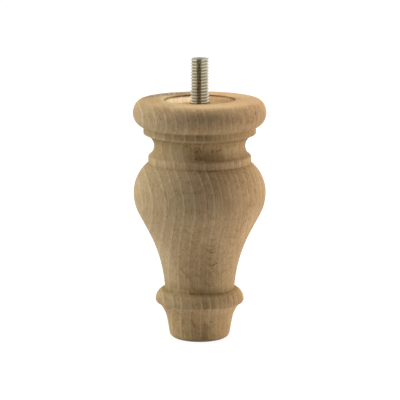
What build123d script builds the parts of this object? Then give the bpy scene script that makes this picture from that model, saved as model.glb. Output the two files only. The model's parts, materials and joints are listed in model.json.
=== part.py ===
"""Turned wooden furniture leg with a hanger bolt in its top.

The leg is one turned piece of beech, 100 mm high and 55 mm across. From the floor up it has a
flared foot, a bead, a vase-shaped body, a ring, a cove, a band and a rolled rim with a shallow
dished recess in the top. A hanger bolt is screwed into a bore on the turning axis. Its machine
thread stands out of the recess to take the furniture.

Units are millimetres. The turning axis is Z, and the leg stands on the floor at Z = 0.
"""

import os
from math import acos, degrees, sin

from build123d import *

# Whole leg
leg_height = 100.0

# Foot
foot_radius = 12.25
foot_edge_radius = 2.4
ankle_radius = 13.6
ankle_height = 7.8
foot_height = 15.0

# Bead above the foot
bead_radius = 18.4
bead_nose_radius = 1.2
bead_shoulder_height = 4.8

# Vase-shaped body: a neck that opens into a straight flank, then a full belly
neck_radius = 14.45
flank_length = 8.0
belly_radius = 27.35
belly_lower_arc_radius = 18.5
belly_lower_sweep = 28.0
belly_upper_arc_radius = 16.2

# Ring on top of the belly
ring_inset = 6.1
ring_height = 2.85
ring_edge_radius = 1.0
ring_slope_inset = 1.5
ring_slope_height = 1.2

# Cove between the ring and the band
cove_height = 8.0
cove_depth = 2.4

# Band under the rolled rim
band_radius = 23.2
band_height = 2.85
band_edge_radius = 0.5

# Rolled rim and the recess in its top
roll_radius = 27.5
roll_underside_height = 5.75
rim_round_width = 3.95
rim_round_height = 5.45
recess_radius = 14.65
recess_wall_height = 0.7
recess_depth = 1.4
recess_flat_radius = 7.0
recess_edge_radius = 0.15

# Hanger bolt
stud_radius = 3.9
stud_projection = 17.0
stud_chamfer = 0.4
shank_radius = 3.55
shank_length = 5.0
screw_radius = 3.9
screw_length = 20.0
screw_point_length = 6.0

# Bore for the bolt
mouth_clearance = 0.35
screw_clearance = 0.05
bore_end_clearance = 1.5

# Heights that follow from the sizes above
bead_crest_z = foot_height + bead_nose_radius
neck_z = bead_crest_z + bead_shoulder_height
roll_crest_z = leg_height - rim_round_height
band_top_z = roll_crest_z - roll_underside_height
band_z = band_top_z - band_height
ring_slope_z = band_z - cove_height
ring_top_z = ring_slope_z - ring_slope_height
ring_z = ring_top_z - ring_height
belly_upper_sweep = acos(1 - ring_inset / belly_upper_arc_radius)
belly_z = ring_z - belly_upper_arc_radius * sin(belly_upper_sweep)
recess_edge_z = leg_height - recess_wall_height
recess_floor_z = leg_height - recess_depth
stud_top_z = leg_height + stud_projection
screw_z = recess_floor_z - shank_length
screw_point_z = screw_z - screw_length
bolt_tip_z = screw_point_z - screw_point_length

# Radii that follow from the sizes above
bead_root_radius = bead_radius - bead_nose_radius
ring_radius = belly_radius - ring_inset
ring_slope_radius = ring_radius - ring_slope_inset
rim_flat_radius = roll_radius - rim_round_width

# Turned leg
with BuildPart() as turned_leg:
    with BuildSketch(Plane.XZ) as half_section:
        with BuildLine():
            foot = FilletPolyline(
                (0, 0), (foot_radius, 0), (ankle_radius, ankle_height), radius=foot_edge_radius
            )
            flare = TangentArc(foot @ 1, (bead_root_radius, foot_height), tangent=foot % 1)
            nose = JernArc(flare @ 1, (1, 0), bead_nose_radius, 90)
            shoulder = TangentArc(nose @ 1, (neck_radius, neck_z), tangent=nose % 1)

            belly_lower = CenterArc(
                (belly_radius - belly_lower_arc_radius, belly_z),
                belly_lower_arc_radius,
                start_angle=-belly_lower_sweep,
                arc_size=belly_lower_sweep,
            )
            flank = PolarLine(belly_lower @ 0, flank_length, direction=-(belly_lower % 0))
            neck = TangentArc(flank @ 1, shoulder @ 1, tangent=flank % 1)
            belly_upper = CenterArc(
                (belly_radius - belly_upper_arc_radius, belly_z),
                belly_upper_arc_radius,
                start_angle=0,
                arc_size=degrees(belly_upper_sweep),
            )

            ring = FilletPolyline(
                belly_upper @ 1,
                (ring_radius, ring_top_z),
                (ring_slope_radius, ring_slope_z),
                radius=ring_edge_radius,
            )
            cove = SagittaArc(ring @ 1, (band_radius, band_z), cove_depth)
            band = Line(cove @ 1, (band_radius, band_top_z))

            roll_underside = TangentArc((roll_radius, roll_crest_z), band @ 1, tangent=(0, -1))
            rim_round = EllipticalCenterArc(
                (rim_flat_radius, roll_crest_z),
                rim_round_width,
                rim_round_height,
                start_angle=0,
                arc_size=90,
            )
            Polyline(
                rim_round @ 1,
                (recess_radius, leg_height),
                (recess_radius, recess_edge_z),
                (recess_flat_radius, recess_floor_z),
                (0, recess_floor_z),
                foot @ 0,
            )
        make_face()
        band_corner = half_section.vertices().sort_by_distance((band_radius, band_z))[0]
        fillet(band_corner, band_edge_radius)
        recess_corner = half_section.vertices().sort_by_distance((recess_radius, leg_height))[0]
        fillet(recess_corner, recess_edge_radius)
    revolve(axis=Axis.Z)

    with Locations((0, 0, leg_height)):
        Hole(radius=stud_radius + mouth_clearance, depth=recess_depth + shank_length)
    with Locations((0, 0, screw_z)):
        Hole(
            radius=screw_radius + screw_clearance,
            depth=screw_length + screw_point_length + bore_end_clearance,
        )
turned_leg.part.label = "turned_leg"

# Hanger bolt
with BuildPart() as hanger_bolt:
    with BuildSketch(Plane.XZ):
        with BuildLine():
            Polyline(
                (0, bolt_tip_z),
                (screw_radius, screw_point_z),
                (screw_radius, screw_z),
                (shank_radius, screw_z),
                (shank_radius, recess_floor_z),
                (stud_radius, recess_floor_z),
                (stud_radius, stud_top_z - stud_chamfer),
                (stud_radius - stud_chamfer, stud_top_z),
                (0, stud_top_z),
                close=True,
            )
        make_face()
    revolve(axis=Axis.Z)
hanger_bolt.part.label = "hanger_bolt"

os.makedirs("parts", exist_ok=True)
export_step(turned_leg.part, "parts/turned_leg.step")
export_step(hanger_bolt.part, "parts/hanger_bolt.step")
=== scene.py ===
"""Dressed model of a turned wooden furniture leg with a threaded stud in its top.

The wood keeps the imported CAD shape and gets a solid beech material. The plain CAD bolt is replaced
by a bolt with real threads. Shapes are in metres, in the frame of the CAD: Z is the turning axis and
the leg stands on the floor at Z = 0. Sizes in mm are turned into metres where they are used.
"""

import json
import math

import bmesh
import bpy
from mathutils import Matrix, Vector


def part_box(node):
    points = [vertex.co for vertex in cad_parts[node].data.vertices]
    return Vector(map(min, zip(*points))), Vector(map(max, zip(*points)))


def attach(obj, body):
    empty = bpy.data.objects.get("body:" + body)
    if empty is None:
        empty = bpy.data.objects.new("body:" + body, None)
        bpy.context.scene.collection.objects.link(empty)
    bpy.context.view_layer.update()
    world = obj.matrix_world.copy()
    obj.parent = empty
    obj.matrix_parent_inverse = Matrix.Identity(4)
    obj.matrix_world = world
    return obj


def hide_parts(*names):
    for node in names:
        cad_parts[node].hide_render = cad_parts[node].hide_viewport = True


MM = 0.001
WHITE = (1.0, 1.0, 1.0, 1.0)

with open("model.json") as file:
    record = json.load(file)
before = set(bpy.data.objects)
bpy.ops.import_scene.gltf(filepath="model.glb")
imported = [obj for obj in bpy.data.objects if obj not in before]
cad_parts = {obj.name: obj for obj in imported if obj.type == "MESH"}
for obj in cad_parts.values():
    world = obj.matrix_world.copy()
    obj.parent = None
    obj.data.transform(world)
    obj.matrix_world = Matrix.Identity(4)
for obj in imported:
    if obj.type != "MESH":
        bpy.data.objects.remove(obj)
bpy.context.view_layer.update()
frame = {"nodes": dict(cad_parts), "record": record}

# Pith of the tree in mm: a line outside the leg, on its right, that leans and bends with height
PITH_X = 77.0
PITH_Y = 8.3
PITH_HEIGHT = 60.0
PITH_LEAN_X = -0.0676
PITH_LEAN_Y = -0.0073
PITH_BEND_X = 0.00029
PITH_BEND_Y = -0.00246
MEAN_RING_RADIUS = 80.0

# Growth rings: distance from the pith in mm, and how strongly the ring's pale line shows
RINGS = (
    (48.8, 0.5), (51.4, 0.5), (54.0, 0.5), (56.6, 0.6), (58.9, 0.3), (62.4, 0.6), (66.3, 0.5),
    (68.7, 0.5), (71.45, 0.4), (73.5, 0.4), (75.5, 0.6), (78.9, 1.5), (82.27, 1.3), (86.25, 1.1),
    (90.03, 1.7), (93.0, 1.2), (96.0, 1.2), (99.85, 1.3), (102.6, 0.8), (105.4, 0.8), (108.8, 0.8),
)

# Rings show less low on the leg and on the flat rim: how much, and the heights in mm of the change
LOW_RINGS = 0.68
LOW_RINGS_TOP = 30.0
FULL_RINGS_BOTTOM = 50.0
RIM_RINGS = 0.4
FULL_RINGS_TOP = 99.3
RIM_RINGS_BOTTOM = 99.85

# Fineness of the grain in steps per mm: out from the pith, round it and along it
RAY_STEPS = (0.2, 2.3, 0.4)
STREAK_STEPS = (2.2, 1.3, 0.13)
FIBRE_STEPS = (3.1, 2.6, 0.15)
PORE_STEPS = (5.0, 5.0, 0.45)

# Fineness of the slower changes and of the rough patch in steps per mm: along X, Y and Z
DRIFT_STEPS = (0.05, 0.05, 0.022)
WANDER_STEPS = (0.9, 0.9, 0.15)
CLOUD_STEPS = (0.06, 0.06, 0.03)
SPECKLE_STEPS = (0.9, 0.35, 0.9)

# How far in mm noise shifts the rings, the rays and the edges of the marks
RING_DRIFT = 0.3
RAY_WANDER = 0.7
MARK_UNEVENNESS = 0.6
MARK_UNEVENNESS_STEPS = 1.1

# How much paler each feature makes the wood, or darker where negative
PALE_LINE_TONE = 0.07
DARK_EDGE_TONE = -0.115
RAY_TONE = -0.15
STREAK_TONE = 0.09
FIBRE_TONE = 0.14
PORE_TONE = -0.13
CLOUD_TONE = 0.035
RIPPLE_TONE = -0.26
RECESS_SHADE_TONE = -0.18
MARK_TONE = -1.0

# How high each feature stands in the wood's bump, or how deep where negative
PALE_LINE_HEIGHT = 0.3
RAY_HEIGHT = -0.5
PORE_HEIGHT = -0.8
STREAK_HEIGHT = 0.4
TEAR_OUT_HEIGHT = -4.0
ROUGH_HEIGHT = -3.0

# Wood colours
INNER_WOOD = (0.617, 0.406, 0.217, 1.0)
OUTER_WOOD = (0.612, 0.463, 0.27, 1.0)
STAIN_BROWN = (0.32, 0.165, 0.065, 1.0)
ROUGH_GREY = (0.225, 0.182, 0.138, 1.0)
FOOT_TINT = (1.02, 0.99, 0.91)

# Where the wood's colour changes: distances from the pith and heights, in mm
INNER_WOOD_RADIUS = 66.0
OUTER_WOOD_RADIUS = 98.0
FOOT_TINT_FULL = 11.0
FOOT_TINT_END = 18.0

# How much the hue changes from ring to ring and from cloud to cloud
RING_HUE = 0.35
CLOUD_HUE = 0.15

# Every mark below has its start and end in mm, its half-width in mm and its strength

# Tear-outs in the cove and on the rim
TEAR_OUTS = (
    ((5.2, -18.1, 82.0), (5.3, -18.2, 80.9), 0.5, 0.42),
    ((6.8, -17.6, 81.6), (6.9, -17.5, 81.0), 0.5, 0.3),
    ((7.7, -17.2, 81.4), (8.7, -16.8, 82.1), 0.5, 0.32),
    ((-1.6, -18.8, 81.3), (-0.9, -18.9, 81.6), 0.5, 0.22),
    ((-0.2, -19.1, 82.6), (0.2, -19.1, 82.2), 0.45, 0.22),
    ((22.5, -15.3, 97.1), (22.7, -15.1, 95.9), 0.6, 0.35),
)

# Painted shade as dark lines in the creases round the ring and cove, and small marks on the foot and
# bead
CREASE_SHADE_AND_MARKS = (
    ((2.9, -21.3, 73.6), (6.8, -20.4, 73.6), 0.6, 0.25),
    ((-1.0, -21.4, 73.6), (2.9, -21.3, 73.6), 0.5, 0.14),
    ((6.8, -20.4, 73.6), (13.5, -16.7, 73.6), 0.5, 0.18),
    ((13.5, -16.7, 73.6), (19.5, -9.0, 73.6), 0.5, 0.12),
    ((-2.0, -21.0, 85.0), (10.0, -18.5, 85.0), 0.5, 0.12),
    ((-3.0, -20.4, 77.4), (9.0, -18.6, 77.4), 0.5, 0.14),
    ((-13.6, -9.4, 14.3), (-12.2, -11.0, 14.2), 0.6, 0.35),
    ((-3.4, -13.7, 10.1), (-2.1, -13.3, 7.2), 0.5, 0.26),
    ((2.0, -13.5, 8.4), (2.0, -13.4, 8.0), 0.65, 0.34),
    ((2.0, -13.9, 9.6), (2.0, -13.9, 9.4), 0.55, 0.24),
    ((4.1, -13.3, 9.3), (5.6, -12.7, 9.3), 0.55, 0.26),
    ((2.4, -18.2, 16.4), (2.4, -18.2, 15.9), 0.55, 0.2),
    ((-4.2, -17.8, 16.3), (-4.2, -17.8, 15.8), 0.5, 0.16),
)

# Dark lines of the figure in the neck and on the belly
FIGURE_LINES = (
    ((3.2, -16.9, 35.0), (4.3, -16.3, 34.2), 0.7, 0.14),
    ((4.3, -16.3, 34.2), (5.6, -15.6, 33.8), 0.7, 0.16),
    ((5.6, -15.6, 33.8), (7.0, -15.4, 34.6), 0.7, 0.13),
    ((4.0, -18.1, 39.4), (6.2, -17.6, 39.5), 0.7, 0.14),
    ((6.9, -18.3, 41.7), (8.5, -17.6, 41.6), 0.6, 0.12),
    ((0.4, -16.6, 30.6), (1.8, -16.5, 30.4), 0.5, 0.1),
    ((7.6, -15.6, 37.2), (7.5, -15.3, 36.4), 0.5, 0.1),
    ((-3.0, -25.4, 68.4), (1.6, -25.6, 68.3), 0.35, 0.08),
    ((-2.0, -25.8, 67.5), (1.0, -25.9, 67.5), 0.35, 0.06),
)

# Brown stains
BROWN_STAINS = (
    ((-1.2, -19.3, 78.7), (5.2, -19.3, 78.0), 1.5, 0.35),
    ((-0.5, -19.0, 82.5), (0.5, -19.0, 79.0), 2.0, 0.22),
    ((4.0, -18.8, 79.6), (8.0, -17.6, 78.6), 3.2, 0.26),
    ((2.9, -13.0, 7.0), (2.5, -12.4, 2.4), 2.2, 0.42),
    ((5.5, 7.5, 98.8), (12.0, 2.5, 99.2), 6.0, 0.46),
    ((-21.0, 4.0, 100.0), (-20.0, -8.0, 100.0), 8.0, 0.47),
    ((-20.0, -8.0, 100.0), (-14.0, -18.0, 99.5), 7.0, 0.36),
    ((-2.5, -27.0, 96.6), (5.0, -26.6, 96.6), 2.4, 0.14),
    ((11.0, -25.2, 95.0), (16.0, -22.3, 94.8), 2.0, 0.16),
    ((3.5, -18.0, 41.0), (4.0, -14.6, 27.0), 5.5, 0.18),
    ((12.0, -13.2, 17.6), (16.0, -8.0, 17.6), 4.0, 0.12),
    ((9.0, -10.4, 11.0), (10.8, -7.0, 4.0), 4.0, 0.14),
    ((7.0, -25.6, 68.0), (10.5, -24.0, 60.0), 5.0, 0.14),
    ((-1.5, -26.0, 56.5), (1.5, -24.5, 50.5), 6.0, 0.08),
    ((23.0, -13.5, 97.5), (24.8, -10.5, 95.0), 4.5, 0.1),
    ((-16.0, -8.0, 17.4), (-12.0, -13.0, 17.4), 4.0, 0.09),
    ((-17.0, -9.5, 79.5), (-13.0, -13.5, 79.5), 3.5, 0.08),
    ((0.5, -14.4, 22.0), (7.5, -12.6, 22.4), 3.0, 0.26),
)

# Places on the belly, bead and foot where the growth rings show more
CLEAR_RINGS = (
    ((3.0, -24.5, 70.5), (13.0, -20.8, 70.5), 5.0, 0.9),
    ((13.0, -20.8, 70.5), (21.0, -13.0, 69.0), 6.0, 0.9),
    ((3.0, -18.0, 17.2), (17.2, -6.5, 17.2), 4.5, 2.0),
    ((-16.5, -8.0, 17.2), (-8.0, -16.3, 17.2), 4.0, 1.0),
    ((-8.0, -12.0, 8.0), (8.0, -12.0, 8.0), 8.0, 0.6),
)

# Paler patches
PALE_PATCHES = (
    ((-11.0, 1.0, 99.1), (-5.0, 9.0, 99.0), 6.0, 0.33),
    ((21.0, -13.5, 54.0), (18.0, -10.5, 46.0), 6.5, 0.12),
    ((-13.0, -10.5, 38.0), (-11.5, -10.5, 28.0), 5.0, 0.06),
    ((12.0, -14.6, 80.0), (15.5, -11.2, 79.6), 4.0, 0.1),
    ((-11.4, -15.1, 79.6), (-6.5, -18.1, 78.9), 3.6, 0.11),
    ((-24.5, -10.0, 67.0), (-25.5, -8.0, 59.0), 5.0, 0.05),
    ((-3.0, -14.0, 11.0), (1.5, -14.0, 10.0), 4.5, 0.04),
    ((-10.0, -10.5, 21.2), (-5.5, -13.4, 21.2), 2.0, 0.14),
    ((-3.5, -27.2, 95.7), (3.5, -27.2, 95.7), 4.5, 0.05),
)

# Rough grey patch at the back left of the rim
ROUGH_RIM = (
    ((-21.0, 9.0, 100.0), (-15.0, 14.0, 100.0), 5.5, 0.9),
    ((-15.0, 14.0, 100.0), (-4.0, 17.0, 100.0), 6.5, 1.0),
)

# Small bows across the grain of the neck: where they are, their middle in mm, and their curve per mm
RIPPLES = (
    ((5.0, -19.5, 44.0), (5.2, -16.3, 35.5), 4.0, 0.8),
    ((5.2, -16.3, 35.5), (3.8, -14.6, 27.0), 4.0, 0.5),
)
RIPPLE_X = 5.1
RIPPLE_BOW = 0.25
RIPPLE_STEPS_ACROSS = 0.2

# Painted shade in the hollows and creases, and painted highlights along the edges where negative: height
# in mm, and how much darker
PAINTED_HOLLOW_SHADE = (
    (0.0, 0.0), (12.2, 0.0), (13.6, -0.06), (15.15, -0.12), (15.65, 0.08), (17.4, 0.08), (19.8, 0.05),
    (20.9, 0.3), (21.3, 0.26), (22.8, 0.15), (27.0, 0.09), (40.0, 0.0), (72.4, 0.02), (73.3, 0.08),
    (73.75, 0.16), (74.6, 0.02), (76.7, -0.03), (77.4, 0.1), (79.0, 0.15), (82.0, 0.15), (84.3, 0.23),
    (84.8, 0.38), (85.3, 0.26), (85.75, 0.0), (86.2, -0.02), (86.9, 0.16), (88.5, 0.17), (89.2, 0.0),
    (97.6, 0.0), (98.6, 0.06), (100.0, 0.06),
)

# Painted shade as a dark line round the edge of the recess in the top, in mm: its radius, its half-width
# and the height it starts at
RECESS_RADIUS = 14.65
RECESS_LINE_WIDTH = 0.5
RECESS_LINE_CORE = 0.1
RECESS_LINE_BOTTOM = 98.0
RECESS_LINE_FULL = 99.0

# Bolt in mm: heights and the stud's radius follow the CAD box and the record
bolt_low, bolt_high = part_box("hanger_bolt")
stud = next(mount for mount in frame["record"]["mounts"] if mount["name"] == "stud")
STUD_RADIUS = stud["dims"]["r_mm"]
STUD_ROOT_RADIUS = 3.24
STUD_PITCH = 1.25
STUD_CHAMFER = 0.25
STUD_LENGTH = 18.4
STUD_TOP = bolt_high.z / MM
STUD_BOTTOM = STUD_TOP - STUD_LENGTH
SHANK_RADIUS = 3.55
SHANK_LENGTH = 5.0
SCREW_RADIUS = 3.9
SCREW_ROOT_RADIUS = 2.85
SCREW_PITCH = 3.0
SCREW_POINT_LENGTH = 6.0
SCREW_TOP = STUD_BOTTOM - SHANK_LENGTH
BOLT_TIP = bolt_low.z / MM
SCREW_POINT = BOLT_TIP + SCREW_POINT_LENGTH

# Bolt's mesh: faces round it, rows in each turn of thread, and small gaps in metres that are closed
BOLT_SEGMENTS = 80
STUD_ROWS_PER_TURN = 14
SCREW_ROWS_PER_TURN = 18
MERGE_GAP = 2e-6
SMALLEST_EDGE = 1e-6
SHARP_ANGLE = math.radians(35)

# Steel: colours, how much of the painted shade in the thread's roots and of the cut end shows, and
# fineness in steps per mm
DULL_STEEL = (0.675, 0.63, 0.487, 1.0)
BRIGHT_STEEL = (0.775, 0.73, 0.588, 1.0)
GROOVE_SHADE = (0.13, 0.11, 0.07, 1.0)
GROOVE_SHADE_SHARE = 0.6
CUT_END = (0.19, 0.18, 0.15, 1.0)
CUT_END_SHARE = 0.9
STEEL_PATCH_STEPS = (0.5, 0.5, 0.3)
SCRATCH_STEPS = (1.5, 1.5, 14.0)

# Floor in metres: its size, and the distances over which its greys and its white change
FLOOR_SIZE = 12.0
GREY_NEAR = 0.2
GREY_FAR = 0.45
NEAR_GREY = 0.7
FAR_GREY = 0.05
WHITE_NEAR = 0.05
WHITE_FAR = 0.3
NEAR_WHITE = 0.93
SHADOW_GREY = (0.16, 0.16, 0.16, 1.0)

# Light of the room, the card that the stud mirrors, and the point in metres that the lamps look at
ROOM_LIGHT = 0.02
CARD_GLOW = (0.06, 0.055, 0.045, 1.0)
LAMP_TARGET = Vector((0.0, 0.0, 0.06))

# Camera: place in metres, angles in degrees, sensor and lens in mm
CAMERA_PLACE = (0.0, -0.91602, 0.23417)
CAMERA_DOWN = 10.891
CAMERA_TURN = -0.0089
CAMERA_SENSOR = 36.0
CAMERA_LENS = 202.58


class Nodes:
    """Adds shader nodes to one material or world and joins their sockets."""

    def __init__(self, owner):
        owner.use_nodes = True
        self.tree = owner.node_tree
        self.tree.nodes.clear()

    def put(self, value, socket):
        """A socket gets linked, and a number or tuple becomes the value."""
        if isinstance(value, bpy.types.NodeSocket):
            self.tree.links.new(value, socket)
        else:
            socket.default_value = value

    def add(self, kind, inputs=None, **settings):
        node = self.tree.nodes.new("ShaderNode" + kind)
        for name, value in settings.items():
            setattr(node, name, value)
        for key, value in (inputs or {}).items():
            self.put(value, node.inputs[key])
        return node

    def math(self, operation, a, b=0.0, c=0.0):
        node = self.add("Math", {0: a, 1: b, 2: c}, operation=operation)
        return node.outputs[0]

    def vector(self, operation, a, b=(0.0, 0.0, 0.0)):
        node = self.add("VectorMath", {0: a, 1: b}, operation=operation)
        number = operation in ("LENGTH", "DISTANCE", "DOT_PRODUCT")
        return node.outputs["Value" if number else "Vector"]

    def scaled(self, vector, factor):
        node = self.add("VectorMath", {0: vector, "Scale": factor}, operation="SCALE")
        return node.outputs["Vector"]

    def joined(self, x, y, z):
        return self.add("CombineXYZ", {0: x, 1: y, 2: z}).outputs[0]

    def ranged(self, value, low, high, to_low=0.0, to_high=1.0, kind="SMOOTHSTEP"):
        node = self.add(
            "MapRange",
            {"Value": value, "From Min": low, "From Max": high, "To Min": to_low, "To Max": to_high},
            interpolation_type=kind,
        )
        return node.outputs[0]

    def noise(self, vector, detail=2.0, roughness=0.5):
        inputs = {"Vector": vector, "Scale": 1.0, "Detail": detail, "Roughness": roughness}
        return self.add("TexNoise", inputs).outputs["Fac"]

    def signed_noise(self, vector, detail=2.0, roughness=0.5):
        """Noise that runs from about -1 to 1 around 0."""
        return self.ranged(self.noise(vector, detail, roughness), 0.25, 0.75, -1.0, 1.0, "LINEAR")

    def mixed(self, factor, a, b):
        node = self.add("Mix", {0: factor, 6: a, 7: b}, data_type="RGBA")
        return node.outputs[2]

    def total(self, *values):
        result = values[0]
        for value in values[1:]:
            result = self.math("ADD", result, value)
        return result

    def weighted(self, *pairs):
        """Each value times its weight."""
        return [self.math("MULTIPLY", value, weight) for value, weight in pairs]

    def highest(self, *values):
        result = values[0]
        for value in values[1:]:
            result = self.math("MAXIMUM", result, value)
        return result

    def seen(self):
        """1 for what the camera sees, also in a mirror or through glass, and 0 for light on the leg."""
        path = self.add("LightPath").outputs
        return self.highest(path["Is Camera Ray"], path["Is Glossy Ray"], path["Is Transmission Ray"])

    def surface(self, shader, output="OutputMaterial"):
        node = self.add(output)
        self.tree.links.new(shader, node.inputs["Surface"])


def curve_through(n, value, points):
    """A graph of straight runs through the given points, from x = 0 to x = 1."""
    node = n.add("FloatCurve", {"Value": value})
    curve = node.mapping.curves[0]
    curve.points[0].location = points[0]
    curve.points[-1].location = points[-1]
    for point in points[1:-1]:
        curve.points.new(*point)
    for point in curve.points:
        point.handle_type = "VECTOR"
    node.mapping.update()
    return node.outputs[0]


def ring_count(n, radius):
    """Counts the growth rings out from the pith, as a number that grows by 1 at each ring."""
    low = RINGS[0][0]
    high = RINGS[-1][0]
    last = len(RINGS) - 1
    points = [((ring - low) / (high - low), i / last) for i, (ring, _) in enumerate(RINGS)]
    share = n.ranged(radius, low, high, kind="LINEAR")
    return n.math("MULTIPLY", curve_through(n, share, points), float(last))


def ring_strength(n, ring):
    """How strongly each ring's pale line shows."""
    last = len(RINGS) - 1
    strongest = max(strength for _, strength in RINGS)
    points = [(i / last, strength / strongest) for i, (_, strength) in enumerate(RINGS)]
    share = n.math("DIVIDE", ring, float(last))
    return n.math("MULTIPLY", curve_through(n, share, points), strongest)


def painted_hollow_shade(n, z):
    """How much painted shade darkens the wood at each height, and where negative how much painted
    highlight lightens it.
    """
    top = PAINTED_HOLLOW_SHADE[-1][0]
    low = min(shade for _, shade in PAINTED_HOLLOW_SHADE)
    high = max(shade for _, shade in PAINTED_HOLLOW_SHADE)
    points = [(height / top, (shade - low) / (high - low)) for height, shade in PAINTED_HOLLOW_SHADE]
    share = curve_through(n, n.ranged(z, 0.0, top, kind="LINEAR"), points)
    return n.math("MULTIPLY_ADD", share, high - low, low)


def stroke(n, place, start, end, width):
    """A soft stroke from start to end: 1 along its middle and 0 beyond its half-width.

    Plain math nodes hold the share between 0 and 1, because a map range would hold more of the
    shader's memory and many strokes would then not fit.
    """
    along = Vector(end) - Vector(start)
    away = n.vector("SUBTRACT", place, start)
    share = n.vector("DOT_PRODUCT", away, along / along.length_squared)
    share = n.math("MINIMUM", n.math("MAXIMUM", share, 0.0), 1.0)
    nearest = n.scaled(tuple(along), share)
    gap = n.vector("LENGTH", n.vector("SUBTRACT", away, nearest))
    return n.ranged(gap, width, 0.25 * width)


def strokes(n, place, marks):
    """The strongest of several strokes at each place."""
    result = 0.0
    for start, end, width, strength in marks:
        mark = n.math("MULTIPLY", stroke(n, place, start, end, width), strength)
        result = n.math("MAXIMUM", result, mark)
    return result


def wood_places(n, place):
    """Distances from the pith and round it, height, and how squarely the rays meet the surface."""
    drift = n.signed_noise(n.vector("MULTIPLY", place, DRIFT_STEPS), detail=1.0)
    x, y, z = n.add("SeparateXYZ", {0: place}).outputs
    above = n.math("SUBTRACT", z, PITH_HEIGHT)
    slope_x = n.math("MULTIPLY_ADD", above, PITH_BEND_X, PITH_LEAN_X)
    slope_y = n.math("MULTIPLY_ADD", above, PITH_BEND_Y, PITH_LEAN_Y)
    pith_x = n.math("MULTIPLY_ADD", above, slope_x, PITH_X)
    pith_y = n.math("MULTIPLY_ADD", above, slope_y, PITH_Y)
    from_x = n.math("SUBTRACT", x, pith_x)
    from_y = n.math("SUBTRACT", y, pith_y)
    radius = n.vector("LENGTH", n.joined(from_x, from_y, 0.0))
    radius = n.math("MULTIPLY_ADD", drift, RING_DRIFT, radius)
    turn = n.math("ARCTAN2", from_y, n.math("MULTIPLY", from_x, -1.0))
    wander = n.signed_noise(n.vector("MULTIPLY", place, WANDER_STEPS), detail=1.0)
    arc = n.math("MULTIPLY_ADD", turn, MEAN_RING_RADIUS, n.math("MULTIPLY", wander, RAY_WANDER))
    outwards = n.vector("NORMALIZE", n.joined(x, y, 0.0))
    from_pith = n.vector("NORMALIZE", n.joined(from_x, from_y, 0.0))
    across = n.math("ABSOLUTE", n.vector("DOT_PRODUCT", outwards, from_pith))
    return radius, arc, z, across


def grain_place(n, radius, arc, z, steps):
    """Place for a noise with its own fineness out from the pith, round it and along the grain."""
    return n.joined(
        n.math("MULTIPLY", radius, steps[0]),
        n.math("MULTIPLY", arc, steps[1]),
        n.math("MULTIPLY", z, steps[2]),
    )


def growth_rings(n, place, radius, z):
    """A random number for each ring, its thin pale line, and the darker wood up to the next ring."""
    count = ring_count(n, radius)
    phase = n.math("FRACT", count)
    ring = n.math("FLOOR", count)
    luck = n.add("TexWhiteNoise", {"W": ring}, noise_dimensions="1D").outputs["Value"]

    low_fade = n.ranged(z, LOW_RINGS_TOP, FULL_RINGS_BOTTOM, LOW_RINGS, 1.0)
    rim_fade = n.ranged(z, FULL_RINGS_TOP, RIM_RINGS_BOTTOM, 1.0, RIM_RINGS)
    shown = n.math("MULTIPLY", low_fade, rim_fade)
    clear = strokes(n, place, CLEAR_RINGS)
    shown = n.math("MULTIPLY_ADD", clear, shown, shown)

    pale_line = n.math("MULTIPLY", n.ranged(phase, 0.24, 0.06), ring_strength(n, ring))
    pale_line = n.math("MULTIPLY", pale_line, shown)
    field = n.math("MULTIPLY", n.ranged(phase, 0.08, 0.42), 0.5)
    dark_edge = n.math("MULTIPLY_ADD", n.math("POWER", phase, 6.0), 0.7, field)
    dark_edge = n.math("MULTIPLY", dark_edge, shown)
    return luck, pale_line, dark_edge


def wood_rays(n, radius, arc, z, across):
    """Thin plates that run out from the pith, shown best where the surface cuts them at a slant."""
    plates = n.noise(grain_place(n, radius, arc, z, RAY_STEPS), detail=1.0)
    grazed = n.ranged(across, 0.1, 0.4, 0.5, 1.1)
    squared = n.ranged(across, 0.5, 0.95, 1.0, 0.45)
    slant = n.math("MULTIPLY", grazed, squared)
    return n.math("MULTIPLY", n.ranged(plates, 0.5, 0.68), slant)


def wood_grain(n, radius, arc, z):
    """Streaks and finer fibres along the grain, and pores."""
    streaks = n.signed_noise(grain_place(n, radius, arc, z, STREAK_STEPS), detail=2.0, roughness=0.45)
    fibres = n.signed_noise(grain_place(n, radius, arc, z, FIBRE_STEPS), detail=1.0, roughness=0.4)
    pores = n.noise(grain_place(n, radius, arc, z, PORE_STEPS), detail=1.0)
    pores = n.ranged(pores, 0.56, 0.72)
    return streaks, fibres, pores


def uneven_place(n, place):
    """The place shifted a little by noise, so that marks get uneven edges."""
    inputs = {"Vector": place, "Scale": MARK_UNEVENNESS_STEPS, "Detail": 2.0}
    shift = n.add("TexNoise", inputs).outputs["Color"]
    shift = n.scaled(n.vector("SUBTRACT", shift, (0.5, 0.5, 0.5)), MARK_UNEVENNESS)
    return n.vector("ADD", place, shift)


def neck_ripple(n, mark_place, z):
    """Small dark bows across the grain of the neck."""
    x = n.add("SeparateXYZ", {0: mark_place}).outputs[0]
    aside = n.math("SUBTRACT", x, RIPPLE_X)
    bowed = n.math("MULTIPLY_ADD", n.math("MULTIPLY", aside, aside), -RIPPLE_BOW, z)
    across = n.math("MULTIPLY", x, RIPPLE_STEPS_ACROSS)
    bows = n.noise(n.joined(across, 0.0, bowed), detail=1.0)
    return n.math("MULTIPLY", n.ranged(bows, 0.47, 0.6), strokes(n, mark_place, RIPPLES))


def recess_shade_line(n, place, z):
    """Painted shade as a dark line round the edge of the recess in the top, where its wall is in shadow.
    """
    from_axis = n.vector("LENGTH", n.vector("MULTIPLY", place, (1.0, 1.0, 0.0)))
    gap = n.math("ABSOLUTE", n.math("SUBTRACT", from_axis, RECESS_RADIUS))
    line = n.ranged(gap, RECESS_LINE_WIDTH, RECESS_LINE_CORE)
    return n.math("MULTIPLY", line, n.ranged(z, RECESS_LINE_BOTTOM, RECESS_LINE_FULL))


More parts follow.
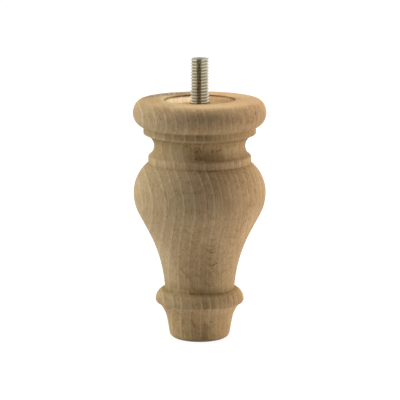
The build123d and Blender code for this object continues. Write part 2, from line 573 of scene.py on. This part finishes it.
def rough_patch(n, place, mark_place):
    """Speckled rough patch on the rim."""
    rough = strokes(n, mark_place, ROUGH_RIM)
    speckle = n.noise(n.vector("MULTIPLY", place, SPECKLE_STEPS), detail=3.0)
    speckle = n.ranged(speckle, 0.38, 0.58, 0.4, 1.0)
    return n.math("MULTIPLY", rough, speckle)


def wood_colour(n, radius, z, luck, clouds, stain, rough):
    """Yellower far from the pith and pinker near it, with a little change from ring to ring."""
    hue = n.ranged(radius, INNER_WOOD_RADIUS, OUTER_WOOD_RADIUS, kind="LINEAR")
    hue = n.math("MULTIPLY_ADD", n.math("SUBTRACT", luck, 0.5), RING_HUE, hue)
    hue = n.math("MULTIPLY_ADD", clouds, CLOUD_HUE, hue)
    clean = n.mixed(hue, INNER_WOOD, OUTER_WOOD)
    foot = n.vector("MULTIPLY", clean, FOOT_TINT)
    clean = n.mixed(n.ranged(z, FOOT_TINT_END, FOOT_TINT_FULL), clean, foot)
    stained = n.mixed(stain, clean, STAIN_BROWN)
    return n.mixed(rough, stained, ROUGH_GREY)


def shaded(n, colour, tone, z):
    """The colour darkened by its tone and by painted shade in the hollows, which also turns it browner,
    and lightened by painted highlights on the edges.
    """
    depth = n.joined(tone, n.math("POWER", tone, 1.3), n.math("POWER", tone, 1.7))
    # Painted shade in the hollows and painted highlights on the edges, by height
    unshaded = n.math("SUBTRACT", 1.0, painted_hollow_shade(n, z))
    painted_shade = n.joined(unshaded, unshaded, n.math("POWER", unshaded, 1.5))
    return n.vector("MULTIPLY", n.vector("MULTIPLY", colour, depth), painted_shade)


def beech_material():
    """Raw sanded beech, solid through the leg."""
    material = bpy.data.materials.new("beech")
    n = Nodes(material)
    place = n.scaled(n.add("TexCoord").outputs["Object"], 1.0 / MM)

    # Grown wood
    radius, arc, z, across = wood_places(n, place)
    luck, pale_line, dark_edge = growth_rings(n, place, radius, z)
    rays = wood_rays(n, radius, arc, z, across)
    streaks, fibres, pores = wood_grain(n, radius, arc, z)
    clouds = n.signed_noise(n.vector("MULTIPLY", place, CLOUD_STEPS))

    # Marks left by the tool and by handling, and painted shade in the creases and round the recess
    mark_place = uneven_place(n, place)
    torn = strokes(n, mark_place, TEAR_OUTS)
    # Figure lines and small marks, together with painted shade in the creases round the ring and cove
    lines = strokes(n, mark_place, CREASE_SHADE_AND_MARKS + FIGURE_LINES)
    pale = strokes(n, mark_place, PALE_PATCHES)
    stain = strokes(n, mark_place, BROWN_STAINS)
    ripple = neck_ripple(n, mark_place, z)
    # Painted shade round the edge of the recess
    recess = recess_shade_line(n, place, z)
    rough = rough_patch(n, place, mark_place)

    # Colour
    tones = n.weighted(
        (pale_line, PALE_LINE_TONE),
        (dark_edge, DARK_EDGE_TONE),
        (rays, RAY_TONE),
        (streaks, STREAK_TONE),
        (fibres, FIBRE_TONE),
        (pores, PORE_TONE),
        (clouds, CLOUD_TONE),
        (torn, MARK_TONE),
        (lines, MARK_TONE),
        (ripple, RIPPLE_TONE),
        (recess, RECESS_SHADE_TONE),
    )
    tone = n.total(1.0, pale, *tones)
    colour = wood_colour(n, radius, z, luck, clouds, stain, rough)
    colour = shaded(n, colour, tone, z)

    # Surface
    heights = n.weighted(
        (pale_line, PALE_LINE_HEIGHT),
        (rays, RAY_HEIGHT),
        (pores, PORE_HEIGHT),
        (streaks, STREAK_HEIGHT),
        (torn, TEAR_OUT_HEIGHT),
        (rough, ROUGH_HEIGHT),
    )
    bump = n.add("Bump", {"Height": n.total(*heights), "Strength": 0.3, "Distance": 0.12 * MM})
    shine = n.ranged(streaks, -1.0, 1.0, 0.7, 0.84, "LINEAR")
    shader = n.add(
        "BsdfPrincipled",
        {"Base Color": colour, "Roughness": shine, "Normal": bump.outputs[0], "Specular IOR Level": 0.1},
    )
    n.surface(shader.outputs[0])
    return material


def steel_material():
    """Plated steel with painted shade in the thread's roots, a darker cut end and fine scratches round
    the bolt.
    """
    material = bpy.data.materials.new("plated_steel")
    n = Nodes(material)
    place = n.scaled(n.add("TexCoord").outputs["Object"], 1.0 / MM)
    x, y, z = n.add("SeparateXYZ", {0: place}).outputs
    from_axis = n.vector("LENGTH", n.joined(x, y, 0.0))
    patches = n.noise(n.vector("MULTIPLY", place, STEEL_PATCH_STEPS), detail=3.0)
    scratches = n.noise(n.vector("MULTIPLY", place, SCRATCH_STEPS), detail=2.0)
    plated = n.mixed(n.ranged(patches, 0.35, 0.65), DULL_STEEL, BRIGHT_STEEL)
    # Painted shade in the roots of the stud's thread
    groove = n.ranged(from_axis, STUD_RADIUS - 0.35, STUD_ROOT_RADIUS + 0.1)
    colour = n.mixed(n.math("MULTIPLY", groove, GROOVE_SHADE_SHARE), plated, GROOVE_SHADE)
    end = n.ranged(z, STUD_TOP - 0.12, STUD_TOP - 0.02)
    colour = n.mixed(n.math("MULTIPLY", end, CUT_END_SHARE), colour, CUT_END)
    shine = n.ranged(scratches, 0.3, 0.7, 0.26, 0.36, "LINEAR")
    bump = n.add("Bump", {"Height": scratches, "Strength": 0.15, "Distance": 0.03 * MM})
    lay = n.add("Tangent", direction_type="RADIAL", axis="Z").outputs[0]
    shader = n.add(
        "BsdfPrincipled",
        {
            "Base Color": colour,
            "Metallic": 1.0,
            "Roughness": shine,
            "Normal": bump.outputs[0],
            "Anisotropic": 0.9,
            "Anisotropic Rotation": 0.25,
            "Tangent": lay,
        },
    )
    n.surface(shader.outputs[0])
    return material


def thread_depth(turns, crest_flat, root_flat):
    """0 on the crest and 1 in the root, at a number of turns of which a whole one is a root."""
    from_crest = abs(turns % 1.0 - 0.5)
    slope = 0.5 - crest_flat / 2 - root_flat / 2
    return min(max((from_crest - crest_flat / 2) / slope, 0.0), 1.0)


def stud_radius(angle, z):
    """Machine thread with a chamfered end."""
    turns = z / STUD_PITCH - angle / math.tau
    depth = thread_depth(turns, crest_flat=0.14, root_flat=0.2)
    radius = STUD_RADIUS - depth * (STUD_RADIUS - STUD_ROOT_RADIUS)
    chamfer = STUD_RADIUS - STUD_CHAMFER + (STUD_TOP - z)
    return min(radius, chamfer)


def screw_radius(angle, z):
    """Wood-screw thread that tapers to the point."""
    turns = z / SCREW_PITCH - angle / math.tau
    depth = thread_depth(turns, crest_flat=0.06, root_flat=0.5)
    taper = min((z - BOLT_TIP) / (SCREW_POINT - BOLT_TIP), 1.0)
    return taper * (SCREW_RADIUS - depth * (SCREW_RADIUS - SCREW_ROOT_RADIUS))


def threaded_rows(low, high, pitch, steps, radius_at):
    """Rows of points that follow a thread's helix between two heights."""
    rows = []
    first = low - pitch
    count = math.ceil((high - first) / pitch) * steps
    for i in range(count + 1):
        row = []
        for j in range(BOLT_SEGMENTS + 1):
            angle = math.tau * j / BOLT_SEGMENTS
            z = first + pitch * (i / steps + j / BOLT_SEGMENTS)
            z = min(max(z, low), high)
            row.append((angle, radius_at(angle, z), z))
        rows.append(row)
    return rows


def plain_row(radius, z):
    return [(math.tau * j / BOLT_SEGMENTS, radius, z) for j in range(BOLT_SEGMENTS + 1)]


def bolt_mesh():
    """One closed mesh from the screw's point up to the stud's flat end."""
    rows = [plain_row(0.0, BOLT_TIP)]
    rows += threaded_rows(BOLT_TIP, SCREW_TOP, SCREW_PITCH, SCREW_ROWS_PER_TURN, screw_radius)
    rows += [plain_row(SHANK_RADIUS, SCREW_TOP), plain_row(SHANK_RADIUS, STUD_BOTTOM)]
    rows += threaded_rows(STUD_BOTTOM, STUD_TOP, STUD_PITCH, STUD_ROWS_PER_TURN, stud_radius)
    rows += [plain_row(0.0, STUD_TOP)]

    mesh = bmesh.new()
    grid = []
    for row in rows:
        points = [(r * math.cos(a) * MM, r * math.sin(a) * MM, z * MM) for a, r, z in row]
        grid.append([mesh.verts.new(point) for point in points])
    for lower, upper in zip(grid, grid[1:]):
        for j in range(BOLT_SEGMENTS):
            mesh.faces.new((lower[j], lower[j + 1], upper[j + 1], upper[j]))
    bmesh.ops.remove_doubles(mesh, verts=mesh.verts, dist=MERGE_GAP)
    bmesh.ops.dissolve_degenerate(mesh, edges=mesh.edges, dist=SMALLEST_EDGE)
    bmesh.ops.recalc_face_normals(mesh, faces=mesh.faces)
    data = bpy.data.meshes.new("hanger_bolt_threaded")
    mesh.to_mesh(data)
    mesh.free()
    for polygon in data.polygons:
        polygon.use_smooth = True
    data.set_sharp_from_angle(angle=SHARP_ANGLE)
    return data


def make_bolt(material):
    data = bolt_mesh()
    data.materials.append(material)
    bolt = bpy.data.objects.new("hanger_bolt_threaded", data)
    bpy.context.scene.collection.objects.link(bolt)
    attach(bolt, "root")
    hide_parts("hanger_bolt")


def dress_leg(material):
    leg = frame["nodes"]["turned_leg"]
    leg.data.materials.clear()
    leg.data.materials.append(material)


def floor_material():
    """White to the camera, with a grey under it that lights the leg and takes its shadow."""
    material = bpy.data.materials.new("floor")
    n = Nodes(material)
    seen = n.seen()
    spread = n.vector("LENGTH", n.add("TexCoord").outputs["Object"])
    level = n.ranged(spread, GREY_NEAR, GREY_FAR, NEAR_GREY, FAR_GREY)
    grey = n.add("BsdfDiffuse", {"Color": n.joined(level, level, level)}).outputs[0]
    shade = n.add("BsdfDiffuse", {"Color": SHADOW_GREY}).outputs[0]
    glow = n.ranged(spread, WHITE_NEAR, WHITE_FAR, NEAR_WHITE, 1.0)
    white = n.add("Emission", {"Color": WHITE, "Strength": glow}).outputs[0]
    shown = n.add("AddShader", {0: shade, 1: white}).outputs[0]
    n.surface(n.add("MixShader", {0: seen, 1: grey, 2: shown}).outputs[0])
    return material


def make_floor():
    bpy.ops.mesh.primitive_plane_add(size=FLOOR_SIZE, location=(0.0, 0.0, 0.0))
    floor = bpy.context.object
    floor.name = "floor"
    floor.data.materials.append(floor_material())


def make_softbox(name, azimuth, elevation, width, height, power):
    """A large soft lamp, 1 m from the leg. Azimuth 0 is the camera's side and 90 its right."""
    lamp = bpy.data.lights.new(name, "AREA")
    lamp.shape = "RECTANGLE"
    lamp.size = width
    lamp.size_y = height
    lamp.energy = power
    softbox = bpy.data.objects.new(name, lamp)
    bpy.context.scene.collection.objects.link(softbox)
    a = math.radians(azimuth)
    e = math.radians(elevation)
    away = Vector((math.sin(a) * math.cos(e), -math.cos(a) * math.cos(e), math.sin(e)))
    softbox.location = LAMP_TARGET + away
    softbox.rotation_mode = "QUATERNION"
    softbox.rotation_quaternion = away.to_track_quat("Z", "Y")
    softbox.visible_camera = False
    softbox.visible_glossy = False


def make_dark_card():
    """A dark card round and over the camera, which the stud mirrors as a dark strip."""
    near_left = (-0.27, -0.3, 0.001)
    near_right = (0.1, -0.3, 0.001)
    far_left = (-0.94, -1.05, 0.001)
    far_right = (0.35, -1.05, 0.001)
    top_left = (-0.94, -1.05, 1.3)
    top_right = (0.35, -1.05, 1.3)
    back_left = (-0.32, 0.6, 1.3)
    back_right = (0.14, 0.6, 1.3)
    corners = [near_left, near_right, far_right, far_left, top_right, top_left, back_right, back_left]
    data = bpy.data.meshes.new("dark_card")
    data.from_pydata(corners, [], [(0, 1, 2, 3), (3, 2, 4, 5), (5, 4, 6, 7)])
    material = bpy.data.materials.new("dark_card")
    n = Nodes(material)
    n.surface(n.add("Emission", {"Color": CARD_GLOW}).outputs[0])
    data.materials.append(material)
    card = bpy.data.objects.new("dark_card", data)
    bpy.context.scene.collection.objects.link(card)
    card.visible_camera = False
    card.visible_diffuse = False
    card.visible_shadow = False


def make_lights():
    """Three soft lamps in a white room that itself gives very little light."""
    make_softbox("left_softbox", azimuth=-94, elevation=30, width=0.7, height=1.0, power=8.8)
    make_softbox("right_softbox", azimuth=96, elevation=6, width=0.7, height=0.5, power=8.3)
    make_softbox("top_softbox", azimuth=154, elevation=70, width=0.8, height=0.8, power=9.5)
    world = bpy.data.worlds.new("room")
    bpy.context.scene.world = world
    n = Nodes(world)
    strength = n.ranged(n.seen(), 0.0, 1.0, ROOM_LIGHT, 1.0, "LINEAR")
    sky = n.add("Background", {"Color": WHITE, "Strength": strength})
    n.surface(sky.outputs[0], "OutputWorld")


def make_camera():
    lens = bpy.data.cameras.new("camera")
    lens.sensor_width = CAMERA_SENSOR
    lens.lens = CAMERA_LENS
    lens.clip_start = 0.01
    lens.clip_end = 50.0
    camera = bpy.data.objects.new("camera", lens)
    bpy.context.scene.collection.objects.link(camera)
    camera.location = CAMERA_PLACE
    camera.rotation_euler = (math.radians(90.0 - CAMERA_DOWN), 0.0, math.radians(CAMERA_TURN))
    bpy.context.scene.camera = camera


dress_leg(beech_material())
make_bolt(steel_material())
make_floor()
make_dark_card()
make_lights()
make_camera()
bpy.context.scene.view_settings.view_transform = "Standard"
